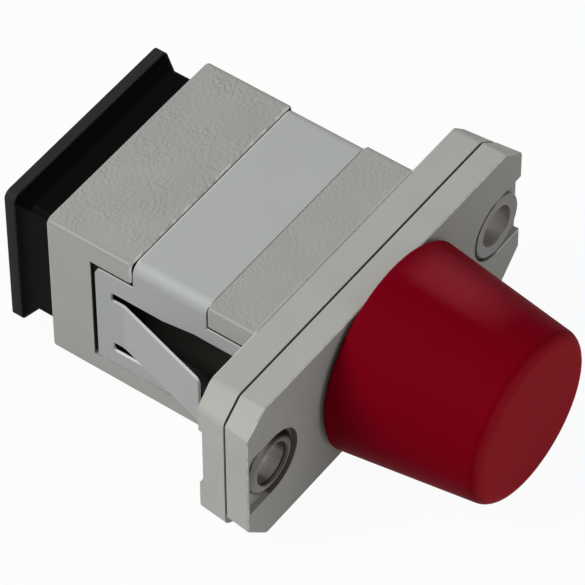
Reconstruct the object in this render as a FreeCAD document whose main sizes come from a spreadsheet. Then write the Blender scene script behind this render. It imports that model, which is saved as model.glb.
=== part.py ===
"""Hybrid fibre adapter: a rectangular SC port and a round FC port on one screwed flange.

The origin is on the optical axis, at the flange face that seats on the panel.
+X runs along the flange, +Y points out of the SC port, -Y out of the FC port, +Z is up.
"""
import FreeCAD, Part
import math
import os
from types import SimpleNamespace

import Sketcher

# Driving sizes in millimetres
SIZES = {
    # housing of the rectangular port
    "body_width": 12.7,
    "body_height": 9.1,
    "body_depth": 12.0,
    "body_corner": 0.4,
    "side_wall": 0.65,
    "top_wall": 0.75,
    "port_corner": 0.4,
    "port_lead_in": 0.2,
    "mouth_round": 0.15,
    "key_width": 2.4,
    "key_groove": 0.35,
    "key_length": 4.0,
    # flange of two plates, with a fine rebate at the seam
    "hole_offset": 2.65,
    "end_margin": 1.78,
    "end_draft": 0.17,
    "flange_step": 0.08,
    "corner_width": 1.2,
    "corner_height": 1.0,
    "sc_low_corner": 0.8,
    "fc_low_corner": 1.4,
    "sc_plate": 1.55,
    "fc_plate": 1.48,
    "sc_corner_round": 0.6,
    "fc_corner_round": 0.2,
    "front_bevel": 0.06,
    "seam_gap": 0.12,
    "seam_depth": 0.3,
    # eyelets through the flange
    "eyelet_bore": 2.2,
    "eyelet_wall": 0.25,
    "eyelet_play": 0.03,
    "head_overhang": 0.45,
    "head_thickness": 0.28,
    "curl_overhang": 0.32,
    "curl_height": 0.26,
    "curl_slope": 0.14,
    "foot_overhang": 0.2,
    "foot_height": 0.14,
    "foot_bevel": 0.08,
    "recess_play": 0.08,
    "front_recess": 0.3,
    "back_recess": 0.22,
    "seat_rim": 0.12,
    # seat of the panel clip in the housing
    "rear_block": 4.95,
    "front_block": 2.67,
    "channel_depth": 0.25,
    "channel_chamfer": 0.1,
    "side_recess": 0.25,
    "recess_height": 6.55,
    "recess_rear_wall": 2.55,
    "window_margin": 0.1,
    # panel clip
    "clip_thickness": 0.15,
    "clip_play": 0.05,
    "strip_play": 0.08,
    "panel_play": 0.22,
    "panel_top_play": 0.3,
    "panel_foot_play": 0.04,
    "panel_corner": 0.45,
    "bend_radius": 0.65,
    "tongue_height": 2.93,
    "tongue_drop": 0.265,
    "slit_width": 0.6,
    "slit_round": 0.18,
    "slit_flare": 0.3,
    "flare_start": 5.3,
    "flare_end": 3.5,
    "root_margin": 0.9,
    "front_bar": 0.8,
    "panel_grip": 2.1,
    "tongue_flat": 0.53,
    "tongue_angle": 15.8,
    "tongue_bend": 1.2,
    "tip_round": 0.3,
    # latch insert
    "seat_ledge": 0.3,
    "seat_shoulder": 0.35,
    "insert_play": 0.05,
    "latch_room": 0.3,
    "latch_thickness": 0.7,
    "latch_width": 3.2,
    "hook_depth": 0.65,
    "hook_lead": 1.1,
    "hook_land": 0.5,
    # split sleeve and the two tubes round it
    "ferrule_bore": 2.5,
    "sleeve_wall": 0.35,
    "sleeve_length": 11.4,
    "sleeve_slit": 0.5,
    "sleeve_play": 0.08,
    "sleeve_end_play": 0.1,
    "tube_wall": 0.52,
    "tube_lip": 0.5,
    "lip_step": 0.2,
    "holder_ledge": 1.5,
    "holder_disc": 1.0,
    "holder_play": 0.05,
    # round barrel
    "barrel_diameter": 8.0,
    "barrel_length": 7.1,
    "barrel_wall": 0.9,
    "barrel_web": 0.8,
    "barrel_chamfer": 0.35,
    "relief_depth": 0.5,
    "relief_length": 0.6,
    "slot_width": 2.15,
    "slot_length": 4.6,
    # red cap on the barrel
    "cap_play": 0.1,
    "cap_rim_wall": 1.4,
    "cap_end_wall": 0.35,
    "cap_end_thickness": 0.97,
    "cap_end_play": 0.1,
    "cap_seat_gap": 0.17,
    "cap_rim_bevel": 0.17,
    "cap_end_round": 0.7,
    # black cap in the rectangular port
    "plug_play": 0.1,
    "plug_depth": 2.7,
    "plug_wall": 0.9,
    "plug_end_gap": 0.3,
    "neck_length": 1.5,
    "slope_length": 0.7,
    "rim_side": 0.35,
    "rim_top": 0.5,
    "rim_bottom": 0.85,
    "rim_thickness": 0.58,
    "plug_end_wall": 0.9,
}
SHEET = "Sizes"
FINE = 1e-4


class Length:
    """A length in millimetres, with the expression over the sheet's cells that drives it."""

    def __init__(self, value, text):
        self.value = value
        self.text = text

    @staticmethod
    def of(item):
        if isinstance(item, Length):
            return item
        return Length(float(item), str(item))

    def joined(self, other, sign, value):
        return Length(value, f"({self.text} {sign} {other.text})")

    def __add__(self, other):
        other = Length.of(other)
        return self.joined(other, "+", self.value + other.value)

    def __sub__(self, other):
        other = Length.of(other)
        return self.joined(other, "-", self.value - other.value)

    def __mul__(self, factor):
        factor = Length.of(factor)
        return self.joined(factor, "*", self.value * factor.value)

    def __truediv__(self, factor):
        factor = Length.of(factor)
        return self.joined(factor, "/", self.value / factor.value)

    def __neg__(self):
        return Length(-self.value, f"(-{self.text})")


def sine(angle):
    """Sine of a driven angle in degrees."""
    return Length(math.sin(math.radians(angle.value)), f"sin({angle.text} * 1 deg)")


def cosine(angle):
    """Cosine of a driven angle in degrees."""
    return Length(math.cos(math.radians(angle.value)), f"cos({angle.text} * 1 deg)")


def fill_sheet(doc):
    """Write the driving sizes into the document's sheet and return them as lengths."""
    sheet = doc.addObject("Spreadsheet::Sheet", SHEET)
    lengths = {}
    for row, (name, value) in enumerate(SIZES.items(), start=1):
        sheet.set(f"A{row}", name)
        sheet.set(f"B{row}", str(value))
        sheet.setAlias(f"B{row}", name)
        lengths[name] = Length(value, f"{SHEET}.{name}")
    doc.recompute()
    return SimpleNamespace(**lengths)


# Direction of each origin plane's normal along its own axis of the part
NORMAL = {"XY_Plane": 1, "XZ_Plane": -1, "YZ_Plane": 1}


def new_sketch(body, name, role, level):
    """A sketch on one of the body's origin planes, moved along its normal to a level."""
    sketch = body.newObject("Sketcher::SketchObject", name)
    plane = next(item for item in body.Origin.OriginFeatures if item.Role == role)
    sketch.AttachmentSupport = [(plane, "")]
    sketch.MapMode = "FlatFace"
    shift = Length.of(level) * NORMAL[role]
    sketch.setExpression(".AttachmentOffset.Base.z", shift.text)
    return sketch


def bind(sketch, kind, geometry, corner, length):
    """Hold one coordinate of a point at a driven length from the sketch's origin."""
    length = Length.of(length)
    constraint = Sketcher.Constraint(kind, -1, 1, geometry, corner, length.value)
    index = sketch.addConstraint(constraint)
    sketch.setExpression(f"Constraints[{index}]", length.text)


def draw_loop(sketch, corners, arcs=None):
    """Draw a closed outline; an arc replaces the side after a corner and turns about its centre.

    A corner is (x, y), and None leaves that coordinate to the arc which ends there.
    An arc is (centre x, centre y, turn) with turn +1 counter-clockwise, -1 clockwise.
    """
    arcs = arcs or {}
    first = sketch.GeometryCount
    count = len(corners)
    places = loop_places(corners, arcs)
    ends = []
    for side in range(count):
        start = places[side]
        stop = places[(side + 1) % count]
        turn = 1
        if side in arcs:
            centre = FreeCAD.Vector(Length.of(arcs[side][0]).value, Length.of(arcs[side][1]).value, 0)
            turn = arcs[side][2]
            sketch.addGeometry(arc_between(centre, start, stop, turn), False)
        else:
            sketch.addGeometry(Part.LineSegment(start, stop), False)
        ends.append((1, 2) if turn > 0 else (2, 1))
    for side in range(count):
        following = (side + 1) % count
        meet = ("Coincident", first + side, ends[side][1], first + following, ends[following][0])
        sketch.addConstraint(Sketcher.Constraint(*meet))
    for side, (across, along) in enumerate(corners):
        if across is not None:
            bind(sketch, "DistanceX", first + side, ends[side][0], across)
        if along is not None:
            bind(sketch, "DistanceY", first + side, ends[side][0], along)
    for side, (across, along, _) in arcs.items():
        bind(sketch, "DistanceX", first + side, 3, across)
        bind(sketch, "DistanceY", first + side, 3, along)


def loop_places(corners, arcs):
    """The corners as points, with each coordinate that an arc leaves open worked out from its radius."""
    places = []
    for index, (across, along) in enumerate(corners):
        if across is not None and along is not None:
            places.append(FreeCAD.Vector(Length.of(across).value, Length.of(along).value, 0))
            continue
        centre_x, centre_y, turn = arcs[index - 1]
        middle = FreeCAD.Vector(Length.of(centre_x).value, Length.of(centre_y).value, 0)
        radius = middle.distanceToPoint(places[index - 1])
        if across is None:
            height = Length.of(along).value
            reach = (radius ** 2 - (height - middle.y) ** 2) ** 0.5
            choices = [FreeCAD.Vector(middle.x + way * reach, height, 0) for way in (1, -1)]
        else:
            width = Length.of(across).value
            reach = (radius ** 2 - (width - middle.x) ** 2) ** 0.5
            choices = [FreeCAD.Vector(width, middle.y + way * reach, 0) for way in (1, -1)]
        start = places[index - 1]
        places.append(min(choices, key=lambda stop: turned_angle(middle, start, stop, turn)))
    return places


def turned_angle(middle, start, stop, turn):
    """The angle that an arc turns through from start to stop, a full turn where the two meet."""
    first = start - middle
    last = stop - middle
    angle = math.atan2(first.cross(last).z * turn, first.dot(last)) % math.tau
    return angle if angle > FINE else math.tau


def arc_between(centre, start, stop, turn):
    """The arc about a centre from start to stop, turning the given way."""
    circle = Part.Circle(centre, FreeCAD.Vector(0, 0, 1), centre.distanceToPoint(start))
    if turn < 0:
        start, stop = stop, start
    return Part.ArcOfCircle(circle, circle.parameter(start), circle.parameter(stop))


def draw_circle(sketch, across, along, diameter):
    """Draw a circle whose centre and diameter are driven."""
    across = Length.of(across)
    along = Length.of(along)
    centre = FreeCAD.Vector(across.value, along.value, 0)
    circle = Part.Circle(centre, FreeCAD.Vector(0, 0, 1), diameter.value / 2)
    geometry = sketch.addGeometry(circle, False)
    bind(sketch, "DistanceX", geometry, 3, across)
    bind(sketch, "DistanceY", geometry, 3, along)
    index = sketch.addConstraint(Sketcher.Constraint("Diameter", geometry, diameter.value))
    sketch.setExpression(f"Constraints[{index}]", diameter.text)


def draw_box(sketch, left, right, bottom, top):
    """Draw a plain rectangle."""
    draw_loop(sketch, [(left, bottom), (right, bottom), (right, top), (left, top)])


def draw_rounded(sketch, width, bottom, top, radius):
    """Draw a rectangle with four round corners, centred across the sketch."""
    right = width / 2
    inner_right = right - radius
    inner_top = top - radius
    inner_bottom = bottom + radius
    corners = [
        (inner_right, bottom), (None, inner_bottom), (right, inner_top), (inner_right, None),
        (-inner_right, top), (None, inner_top), (-right, inner_bottom), (-inner_right, None),
    ]
    arcs = {
        0: (inner_right, inner_bottom, 1),
        2: (inner_right, inner_top, 1),
        4: (-inner_right, inner_top, 1),
        6: (-inner_right, inner_bottom, 1),
    }
    draw_loop(sketch, corners, arcs)


def swept(body, kind, name, sketch, depth, role, toward):
    """Pad or pocket a sketch by a depth towards +1 or -1 along the plane's axis, and test that it took."""
    before = body.Shape.Volume if body.Tip else 0.0
    feature = body.newObject(f"PartDesign::{kind}", name)
    feature.Profile = sketch
    feature.setExpression("Length", Length.of(depth).text)
    outward = NORMAL[role] if kind == "Pad" else -NORMAL[role]
    feature.Reversed = outward != toward
    body.Document.recompute()
    after = body.Shape.Volume
    grew = after > before + FINE
    shrank = after < before - FINE
    if (kind == "Pad" and not grew) or (kind == "Pocket" and not shrank):
        raise RuntimeError(f"{name} changed nothing: {before} to {after}")
    return feature


def turned(body, kind, name, sketch):
    """Revolve or groove a half section on the XY plane about the part's own Y axis."""
    feature = body.newObject(f"PartDesign::{kind}", name)
    feature.Profile = sketch
    feature.ReferenceAxis = (sketch, ["V_Axis"])
    feature.Angle = 360
    body.Document.recompute()
    return feature


def eased(body, kind, name, measure, size, wanted):
    """Fillet or chamfer the edges of the body's tip that a test picks."""
    base = body.Tip
    names = [f"Edge{place}" for place, edge in enumerate(base.Shape.Edges, start=1) if wanted(edge)]
    if not names:
        raise RuntimeError(f"{name} found no edge")
    feature = body.newObject(f"PartDesign::{kind}", name)
    feature.Base = (base, names)
    feature.setExpression(measure, size.text)
    body.Document.recompute()
    return feature


def mirrored(body, name, features, role):
    """Mirror features across one of the body's origin planes."""
    feature = body.newObject("PartDesign::Mirrored", name)
    feature.Originals = features
    plane = next(item for item in body.Origin.OriginFeatures if item.Role == role)
    feature.MirrorPlane = (plane, [""])
    body.Tip = feature
    body.Document.recompute()
    return feature


def runs_along(edge, axis):
    """Whether an edge is straight along one axis, 0 to 2 for X to Z."""
    box = edge.BoundBox
    spans = [box.XLength, box.YLength, box.ZLength]
    others = [span for place, span in enumerate(spans) if place != axis]
    return spans[axis] > FINE and max(others) < FINE


def lies_at(edge, axis, level):
    """Whether an edge lies wholly in the plane at a level on one axis, 0 to 2 for X to Z."""
    box = edge.BoundBox
    low = (box.XMin, box.YMin, box.ZMin)[axis]
    high = (box.XMax, box.YMax, box.ZMax)[axis]
    return abs(low - level) < FINE and abs(high - level) < FINE


def derive(s):
    """Work out the lengths that several pieces share from the driving sizes."""
    s.half_width = s.body_width / 2
    s.half_height = s.body_height / 2
    s.port_width = s.body_width - s.side_wall * 2
    s.port_top = s.half_height - s.top_wall
    s.hole_x = s.half_width + s.hole_offset
    s.flange_half = s.hole_x + s.end_margin
    s.flange_back_half = s.flange_half - s.end_draft
    s.flange_front_half = s.flange_half + s.end_draft
    s.flange_top = s.half_height - s.flange_step
    s.seam = -s.sc_plate
    s.front = s.seam - s.fc_plate
    s.tube_outer = s.eyelet_bore + s.eyelet_wall * 2
    s.rivet_hole = s.tube_outer + s.eyelet_play * 2
    s.head_outer = s.tube_outer + s.head_overhang * 2
    s.recess_half = s.head_outer / 2 + s.recess_play
    s.channel_floor = s.half_height - s.channel_depth
    s.recess_floor = s.half_width - s.side_recess
    s.channel_front = s.front_block
    s.channel_rear = s.body_depth - s.rear_block
    s.recess_end = s.body_depth - s.recess_rear_wall
    s.clip_inner = s.recess_floor + s.clip_play
    s.clip_outer = s.clip_inner + s.clip_thickness
    s.clip_under = s.channel_floor + s.clip_play
    s.clip_top = s.clip_under + s.clip_thickness
    s.panel_front = s.panel_play
    s.panel_rear = s.recess_end - s.panel_play
    s.panel_top = s.recess_height / 2 - s.panel_top_play
    s.panel_bottom = s.panel_foot_play - s.recess_height / 2
    s.tongue_root = s.panel_rear - s.root_margin
    s.cut_front = s.panel_front + s.front_bar
    s.cut_half = s.tongue_height / 2 + s.slit_width
    s.cut_mouth_half = s.cut_half + s.slit_flare
    s.sleeve_outer = s.ferrule_bore + s.sleeve_wall * 2
    s.tube_bore = s.sleeve_outer + s.sleeve_play * 2
    s.tube_diameter = s.tube_bore + s.tube_wall * 2
    s.lip_bore = s.ferrule_bore + s.lip_step * 2
    s.sleeve_reach = s.sleeve_length / 2
    s.tube_reach = s.sleeve_reach + s.sleeve_end_play
    s.holder_width = s.tube_diameter + s.holder_ledge * 2
    s.barrel_bore = s.barrel_diameter - s.barrel_wall * 2
    s.barrel_tip = s.front - s.barrel_length
    s.web_rear = s.seam - s.holder_disc
    s.web_front = s.web_rear - s.barrel_web
    s.plug_end = s.body_depth - s.plug_depth
    s.latch_tip = s.plug_end - s.plug_end_gap
    return s


def flange_outline(s, half_length, low_corner, inset):
    """The flange's long eight-sided outline for a half length, moved inwards by an inset."""
    right = half_length - inset
    top = s.flange_top - inset
    cut_right = s.flange_half - s.corner_width
    cut_top = s.flange_top - s.corner_height
    cut_bottom = low_corner - s.flange_top
    return [
        (-cut_right, -top), (cut_right, -top), (right, cut_bottom), (right, cut_top),
        (cut_right, top), (-cut_right, top), (-right, cut_top), (-right, cut_bottom),
    ]


def add_plate(body, s, levels, half_lengths, low_corner, corner_round):
    """Add a flange plate between two levels, its ends drafted and its eight corners rounded."""
    outlines = []
    for place, level, half_length in zip(("near", "far"), levels, half_lengths):
        outline = new_sketch(body, f"plate_{place}", "XZ_Plane", level)
        draw_loop(outline, flange_outline(s, half_length, low_corner, 0))
        outlines.append(outline)
    plate = body.newObject("PartDesign::AdditiveLoft", "plate")
    plate.Profile = outlines[0]
    plate.Sections = outlines[1:]
    plate.Ruled = True
    body.Document.recompute()
    low = min(level.value for level in levels)
    high = max(level.value for level in levels)

    def is_corner(edge):
        box = edge.BoundBox
        spans = abs(box.YMin - low) < FINE and abs(box.YMax - high) < FINE
        return spans and abs(edge.CenterOfMass.x) > s.hole_x.value

    eased(body, "Fillet", "plate_corners", "Radius", corner_round, is_corner)


def cut_rivet_seats(body, s, face, inward, depth, left_end):
    """Cut both rivet holes through a plate, and the seats of their ends in its outer face.

    The right seat is open at the flange's end; the left one runs to its own end.
    """
    holes = new_sketch(body, "rivet_holes", "XZ_Plane", face)
    draw_circle(holes, -s.hole_x, 0, s.rivet_hole)
    draw_circle(holes, s.hole_x, 0, s.rivet_hole)
    swept(body, "Pocket", "rivet_hole_cut", holes, s.sc_plate + s.fc_plate, "XZ_Plane", inward)
    seats = new_sketch(body, "head_seats", "XZ_Plane", face)
    beyond = s.flange_half + s.end_margin
    left_end = left_end or beyond
    half = s.recess_half
    right = [(beyond, half), (s.hole_x, half), (s.hole_x, None), (beyond, -half)]
    left = [(-left_end, -half), (-s.hole_x, -half), (-s.hole_x, None), (-left_end, half)]
    draw_loop(seats, right, {1: (s.hole_x, 0, 1)})
    draw_loop(seats, left, {1: (-s.hole_x, 0, 1)})
    swept(body, "Pocket", "head_seat_cut", seats, depth, "XZ_Plane", inward)


def make_sc_housing(doc, s):
    """Die-cast housing of the rectangular port with the flange plate that seats on the panel."""
    body = doc.addObject("PartDesign::Body", "sc_housing")
    block = new_sketch(body, "block", "XZ_Plane", 0)
    draw_box(block, -s.half_width, s.half_width, -s.half_height, s.half_height)
    swept(body, "Pad", "block_pad", block, s.body_depth, "XZ_Plane", 1)
    eased(body, "Fillet", "block_edges", "Radius", s.body_corner, lambda edge: runs_along(edge, 1))
    levels = (Length.of(0), s.seam)
    half_lengths = (s.flange_back_half, s.flange_half)
    add_plate(body, s, levels, half_lengths, s.sc_low_corner, s.sc_corner_round)
    depth = s.body_depth.value
    eased(body, "Fillet", "mouth_edges", "Radius", s.mouth_round, lambda edge: lies_at(edge, 1, depth))
    cut_port(body, s)
    cut_clip_seat(body, s)
    cut_rivet_seats(body, s, Length.of(0), -1, s.back_recess, None)
    return body


def cut_port(body, s):
    """Cut the port, its key groove and the seat of the latch insert."""
    port = new_sketch(body, "port", "XZ_Plane", s.body_depth)
    draw_rounded(port, s.port_width, -s.port_top, s.port_top, s.port_corner)
    swept(body, "Pocket", "port_cut", port, s.body_depth + s.sc_plate, "XZ_Plane", -1)
    key = new_sketch(body, "key_groove", "XZ_Plane", s.body_depth)
    groove_top = s.port_top + s.key_groove
    draw_box(key, -s.key_width / 2, s.key_width / 2, Length.of(0), groove_top)
    swept(body, "Pocket", "key_groove_cut", key, s.key_length, "XZ_Plane", -1)
    eased(body, "Chamfer", "port_lead", "Size", s.port_lead_in, lambda edge: is_port_edge(edge, s))
    seat = new_sketch(body, "insert_seat", "XZ_Plane", s.seam)
    seat_width = s.port_width + s.seat_ledge * 2
    seat_top = s.port_top + s.seat_ledge
    draw_rounded(seat, seat_width, -seat_top, seat_top, s.port_corner)
    swept(body, "Pocket", "insert_seat_cut", seat, s.sc_plate - s.seat_shoulder, "XZ_Plane", 1)


def is_port_edge(edge, s):
    """Whether an edge belongs to the port's outline at the mouth, the key groove included."""
    inside_width = edge.BoundBox.XMax < s.port_width.value / 2 + FINE
    inside_height = edge.BoundBox.ZMax < s.port_top.value + s.key_groove.value + FINE
    return lies_at(edge, 1, s.body_depth.value) and inside_width and inside_height


def cut_clip_seat(body, s):
    """Cut the channel over the top, the side recesses and the windows behind the tongues."""
    channel = new_sketch(body, "clip_channel", "XZ_Plane", s.channel_front)
    outside = s.half_width + s.side_recess
    above = s.half_height + s.channel_depth
    low = -s.recess_height / 2
    radius = s.bend_radius - s.clip_thickness - s.clip_play
    bend_x = s.recess_floor - radius
    bend_z = s.channel_floor - radius
    corners = [
        (-outside, low), (-s.recess_floor, low), (-s.recess_floor, bend_z), (-bend_x, None),
        (bend_x, s.channel_floor), (None, bend_z), (s.recess_floor, low), (outside, low),
        (outside, above), (-outside, above),
    ]
    draw_loop(channel, corners, {2: (-bend_x, bend_z, -1), 4: (bend_x, bend_z, -1)})
    swept(body, "Pocket", "clip_channel_cut", channel, s.channel_rear - s.channel_front, "XZ_Plane", 1)
    ends = (s.channel_front.value, s.channel_rear.value)

    def is_block_edge(edge):
        at_end = min(abs(edge.CenterOfMass.y - end) for end in ends) < FINE
        return runs_along(edge, 0) and at_end and edge.CenterOfMass.z > s.half_height.value - FINE

    eased(body, "Chamfer", "channel_edges", "Size", s.channel_chamfer, is_block_edge)
    recess = new_sketch(body, "side_recess", "YZ_Plane", s.recess_floor)
    draw_box(recess, Length.of(0), s.recess_end, low, -low)
    cut = swept(body, "Pocket", "side_recess_cut", recess, s.side_recess * 2, "YZ_Plane", 1)
    window = new_sketch(body, "tongue_window", "YZ_Plane", Length.of(0))
    top = s.cut_mouth_half - s.tongue_drop + s.window_margin
    bottom = -s.cut_mouth_half - s.tongue_drop - s.window_margin
    draw_box(window, s.cut_front - s.window_margin, s.tongue_root + s.window_margin, bottom, top)
    opening = swept(body, "Pocket", "tongue_window_cut", window, s.body_width, "YZ_Plane", 1)
    mirrored(body, "other_side", [cut, opening], "YZ_Plane")


def make_fc_housing(doc, s):
    """Die-cast front half: flange plate, turned barrel with its key slot, and the holder's seat."""
    body = doc.addObject("PartDesign::Body", "fc_housing")
    land = new_sketch(body, "seam_land", "XZ_Plane", s.seam)
    draw_loop(land, flange_outline(s, s.flange_half, s.fc_low_corner, s.seam_depth))
    swept(body, "Pad", "seam_land_pad", land, s.seam_gap, "XZ_Plane", -1)
    levels = (s.seam - s.seam_gap, s.front)
    half_lengths = (s.flange_half, s.flange_front_half)
    add_plate(body, s, levels, half_lengths, s.fc_low_corner, s.fc_corner_round)
    front = s.front.value
    eased(body, "Chamfer", "front_edges", "Size", s.front_bevel, lambda edge: lies_at(edge, 1, front))
    seat = new_sketch(body, "holder_seat", "XZ_Plane", s.seam)
    draw_circle(seat, 0, 0, s.holder_width + s.holder_play * 2)
    swept(body, "Pocket", "holder_seat_cut", seat, s.fc_plate, "XZ_Plane", -1)
    turned(body, "Revolution", "barrel_turning", barrel_section(body, s))
    slot = new_sketch(body, "key_slot", "XY_Plane", Length.of(0))
    draw_box(slot, -s.slot_width / 2, s.slot_width / 2, s.barrel_tip, s.barrel_tip + s.slot_length)
    swept(body, "Pocket", "key_slot_cut", slot, s.barrel_diameter, "XY_Plane", 1)
    cut_rivet_seats(body, s, s.front, 1, s.front_recess, s.flange_front_half - s.seat_rim)
    return body


def barrel_section(body, s):
    """Half section of the barrel: web with the tube's hole, bore, chamfered tip and thread relief."""
    section = new_sketch(body, "barrel_section", "XY_Plane", Length.of(0))
    outer = s.barrel_diameter / 2
    bore = s.barrel_bore / 2
    hole = s.tube_diameter / 2 + s.holder_play
    root = outer - s.relief_depth
    seat = s.holder_width / 2 + s.holder_play
    ring = seat + s.relief_depth
    relief_end = s.front - s.relief_length
    corners = [
        (hole, s.web_rear), (hole, s.web_front), (bore, s.web_front),
        (bore, s.barrel_tip + s.barrel_chamfer / 2), (bore + s.barrel_chamfer / 2, s.barrel_tip),
        (outer - s.barrel_chamfer, s.barrel_tip), (outer, s.barrel_tip + s.barrel_chamfer),
        (outer, relief_end - s.relief_depth), (root, relief_end), (root, s.front),
        (ring, s.front), (ring, s.web_rear),
    ]
    draw_loop(section, corners)
    return section


def make_panel_clip(doc, s):
    """Folded spring-steel clip: strip over the top, side panels, and a flared tongue each side."""
    body = doc.addObject("PartDesign::Body", "panel_clip")
    fold = new_sketch(body, "fold", "XZ_Plane", s.panel_front)
    bend_x = s.clip_outer - s.bend_radius
    bend_z = s.clip_top - s.bend_radius
    low = s.panel_bottom
    corners = [
        (-s.clip_outer, low), (-s.clip_inner, low), (-s.clip_inner, bend_z), (-bend_x, None),
        (bend_x, s.clip_under), (None, bend_z), (s.clip_inner, low), (s.clip_outer, low),
        (s.clip_outer, bend_z), (bend_x, None), (-bend_x, s.clip_top), (None, bend_z),
    ]
    arcs = {
        2: (-bend_x, bend_z, -1), 4: (bend_x, bend_z, -1),
        8: (bend_x, bend_z, 1), 10: (-bend_x, bend_z, 1),
    }
    draw_loop(fold, corners, arcs)
    swept(body, "Pad", "fold_pad", fold, s.panel_rear - s.panel_front, "XZ_Plane", 1)
    trim_strip(body, s)
    panel_corners(body, s)
    return add_tongues(body, s)


def trim_strip(body, s):
    """Narrow the sheet to the strip above the side panels."""
    trim = new_sketch(body, "strip_trim", "YZ_Plane", -s.body_width)
    above = s.clip_top + s.clip_thickness
    strip_front = s.channel_front + s.strip_play
    strip_rear = s.channel_rear - s.strip_play
    draw_box(trim, s.panel_front - s.panel_play, strip_front, s.panel_top, above)
    draw_box(trim, strip_rear, s.panel_rear + s.panel_play, s.panel_top, above)
    swept(body, "Pocket", "strip_trim_cut", trim, s.body_width * 2, "YZ_Plane", 1)


def panel_corners(body, s):
    """Round the upper corners of the side panels."""
    ends = (s.panel_front.value, s.panel_rear.value)

    def is_corner(edge):
        middle = edge.CenterOfMass
        at_end = min(abs(middle.y - end) for end in ends) < FINE
        return runs_along(edge, 0) and at_end and abs(middle.z - s.panel_top.value) < FINE

    eased(body, "Fillet", "panel_corner_rounds", "Radius", s.panel_corner, is_corner)


def add_tongues(body, s):
    """Cut each panel round its tongue and add the tongue, bent outwards near its root."""
    cut = new_sketch(body, "tongue_cut", "YZ_Plane", -s.body_width)
    middle = -s.tongue_drop
    corners = [
        (s.cut_front, middle - s.cut_mouth_half), (s.flare_end, middle - s.cut_mouth_half),
        (s.flare_start, middle - s.cut_half), (s.tongue_root, middle - s.cut_half),
        (s.tongue_root, middle + s.cut_half), (s.flare_start, middle + s.cut_half),
        (s.flare_end, middle + s.cut_mouth_half), (s.cut_front, middle + s.cut_mouth_half),
    ]
    draw_loop(cut, corners)
    swept(body, "Pocket", "tongue_cut_through", cut, s.body_width * 2, "YZ_Plane", 1)

    def is_slit_end(edge):
        height = abs(edge.CenterOfMass.z - middle.value)
        at_root = abs(edge.CenterOfMass.y - s.tongue_root.value) < FINE
        return runs_along(edge, 0) and at_root and abs(height - s.cut_half.value) < FINE

    eased(body, "Fillet", "slit_ends", "Radius", s.slit_round, is_slit_end)
    tongue = new_sketch(body, "tongue", "XY_Plane", middle - s.tongue_height / 2)
    near = s.tongue_bend
    far = s.tongue_bend + s.clip_thickness
    across = sine(s.tongue_angle)
    along = cosine(s.tongue_angle)
    bend_x = s.clip_outer + near
    bend_y = s.tongue_root - s.tongue_flat
    near_end = (bend_x - near * along, bend_y - near * across)
    far_end = (bend_x - far * along, bend_y - far * across)
    reach = (near_end[1] - s.panel_grip) / along
    corners = [
        (s.clip_outer, s.tongue_root), (s.clip_outer, bend_y), (None, near_end[1]),
        (near_end[0] + reach * across, s.panel_grip),
        (far_end[0] + reach * across, far_end[1] - reach * along),
        far_end, (None, bend_y), (s.clip_inner, s.tongue_root),
    ]
    draw_loop(tongue, corners, {1: (bend_x, bend_y, 1), 5: (bend_x, bend_y, -1)})
    bent = swept(body, "Pad", "tongue_pad", tongue, s.tongue_height, "XY_Plane", 1)
    mirrored(body, "tongue_pair", [bent], "YZ_Plane")
    reach_out = s.clip_outer.value + s.clip_thickness.value

    def is_tip_corner(edge):
        place = edge.CenterOfMass
        at_tip = abs(place.y - s.panel_grip.value) < s.clip_thickness.value and abs(place.x) > reach_out
        across_sheet = edge.Length < s.clip_thickness.value + FINE
        return at_tip and across_sheet

    eased(body, "Fillet", "tip_corners", "Radius", s.tip_round, is_tip_corner)
    return body


def make_latch_insert(doc, s):
    """Moulded insert: base plate, sleeve tube and two hooked latch arms."""
    body = doc.addObject("PartDesign::Body", "sc_latch_insert")
    base = new_sketch(body, "base", "XZ_Plane", s.seam)
    base_width = s.port_width + s.seat_ledge * 2 - s.insert_play * 2
    base_top = s.port_top + s.seat_ledge - s.insert_play
    draw_rounded(base, base_width, -base_top, base_top, s.port_corner)
    swept(body, "Pad", "base_pad", base, s.sc_plate - s.seat_shoulder, "XZ_Plane", 1)
    tube = new_sketch(body, "tube", "XZ_Plane", s.seam)
    draw_circle(tube, 0, 0, s.tube_diameter)
    swept(body, "Pad", "tube_pad", tube, s.tube_reach + s.tube_lip, "XZ_Plane", 1)
    arm = swept(body, "Pad", "arm_pad", latch_arm(body, s), s.latch_width, "XY_Plane", 1)
    mirrored(body, "arm_pair", [arm], "YZ_Plane")
    bore = new_sketch(body, "sleeve_bore", "XZ_Plane", s.seam)
    draw_circle(bore, 0, 0, s.tube_bore)
    swept(body, "Pocket", "sleeve_bore_cut", bore, s.tube_reach, "XZ_Plane", 1)
    lip = new_sketch(body, "lip_bore", "XZ_Plane", s.seam)
    draw_circle(lip, 0, 0, s.lip_bore)
    swept(body, "Pocket", "lip_bore_cut", lip, s.sleeve_length, "XZ_Plane", 1)
    return body


def latch_arm(body, s):
    """Outline of one latch arm with the slanted hook at its tip."""
    arm = new_sketch(body, "arm", "XY_Plane", -s.latch_width / 2)
    outer = s.port_width / 2 - s.latch_room
    inner = outer - s.latch_thickness
    hook = inner - s.hook_depth
    crest = s.latch_tip - s.hook_lead
    foot = -s.seat_shoulder
    corners = [
        (inner, foot), (outer, foot), (outer, s.latch_tip), (inner, s.latch_tip),
        (hook, crest), (hook, crest - s.hook_land), (inner, crest - s.hook_land),
    ]
    draw_loop(arm, corners)
    return arm


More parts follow.
